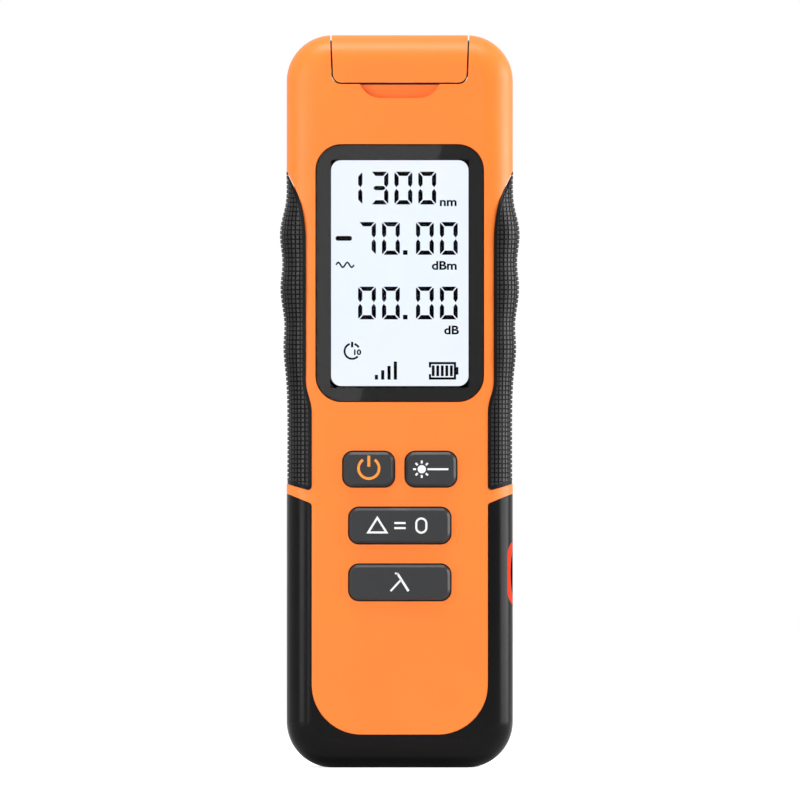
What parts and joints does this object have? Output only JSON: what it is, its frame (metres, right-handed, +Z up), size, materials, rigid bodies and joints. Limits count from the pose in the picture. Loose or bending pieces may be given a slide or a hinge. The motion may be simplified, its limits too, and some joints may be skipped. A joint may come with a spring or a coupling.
{
  "type": "optical power meter",
  "caption": "Upright handheld meter with a display and keys, soft side grips and boot, and a hinged dust cover over its fibre ports.",
  "frame": {"origin": "middle of the flat bottom end, halfway between the front and back of the body", "axes": "+Z up along the meter, -Y out of the front face, +X to the right seen from the front"},
  "size_m": [0.0516, 0.0292, 0.16],
  "materials": {
    "orange_housing": "satin moulded orange",
    "black_rubber": "soft satin black",
    "red_rubber": "soft red orange",
    "clear_window": "clear polished",
    "black_print": "dark printed film",
    "display_glass": "pale lit display",
    "white_plastic": "white diffuser",
    "black_plastic": "fine matt",
    "grey_rubber": "matt",
    "board_green": "solder mask",
    "steel": "satin",
    "plated_metal": "nickel plated",
    "gold_plate": "gold plated",
    "brass": "turned",
    "battery_wrap": "film wrap",
    "key_plastic": "dark grey moulded"
  },
  "bodies": {
    "case": {"front_shell": "orange_housing", "rear_shell": "orange_housing", "lower_boot": "black_rubber", "left_grip": "black_rubber", "right_grip": "black_rubber", "display_window": "clear_window", "window_border": "black_print", "display_glass": "display_glass", "backlight_plate": "white_plastic", "display_frame": "black_plastic", "contact_strip": "grey_rubber", "main_board": "board_green", "board_screws": "steel", "board_chips": "black_plastic", "sounder": "black_plastic", "keypad_sheet": "grey_rubber", "port_plate": "black_plastic", "power_port": "plated_metal", "fault_light_port": "plated_metal", "detector_can": "gold_plate", "laser_module": "brass", "cover_hinge_pin": "steel", "battery_pack": "battery_wrap", "battery_contacts": "gold_plate", "charging_socket": "steel", "housing_screws": "steel"},
    "dust_cover": {"dust_cover": "orange_housing"},
    "charging_port_cover": {"charging_port_cover": "red_rubber"},
    "battery_door": {"battery_door": "orange_housing"},
    "power_key": {"power_key": "key_plastic"},
    "fault_light_key": {"fault_light_key": "key_plastic"},
    "reference_key": {"reference_key": "key_plastic"},
    "wavelength_key": {"wavelength_key": "key_plastic"}
  },
  "joints": [
    {"name": "dust_cover_hinge", "type": "hinge", "parent": "case", "child": "dust_cover", "pos_m": [0, 0.0121, 0.1518], "axis": [-1, 0, 0], "range_deg": [0, 115]},
    {"name": "charging_cover_hinge", "type": "hinge", "parent": "case", "child": "charging_port_cover", "pos_m": [0.0247, -0.00127, 0.0425], "axis": [0, 0, 1], "range_deg": [0, 100]},
    {"name": "battery_door_hinge", "type": "hinge", "parent": "case", "child": "battery_door", "pos_m": [0, 0.014, 0.0665], "axis": [1, 0, 0], "range_deg": [0, 70]},
    {"name": "power_key_press", "type": "slide", "parent": "case", "child": "power_key", "axis": [0, 1, 0], "range_m": [0, 0.00075], "stiffness_N_per_m": 400, "springref_m": -0.0005},
    {"name": "fault_light_key_press", "type": "slide", "parent": "case", "child": "fault_light_key", "axis": [0, 1, 0], "range_m": [0, 0.00075], "stiffness_N_per_m": 400, "springref_m": -0.0005},
    {"name": "reference_key_press", "type": "slide", "parent": "case", "child": "reference_key", "axis": [0, 1, 0], "range_m": [0, 0.00075], "stiffness_N_per_m": 400, "springref_m": -0.0005},
    {"name": "wavelength_key_press", "type": "slide", "parent": "case", "child": "wavelength_key", "axis": [0, 1, 0], "range_m": [0, 0.00075], "stiffness_N_per_m": 400, "springref_m": -0.0005}
  ]
}
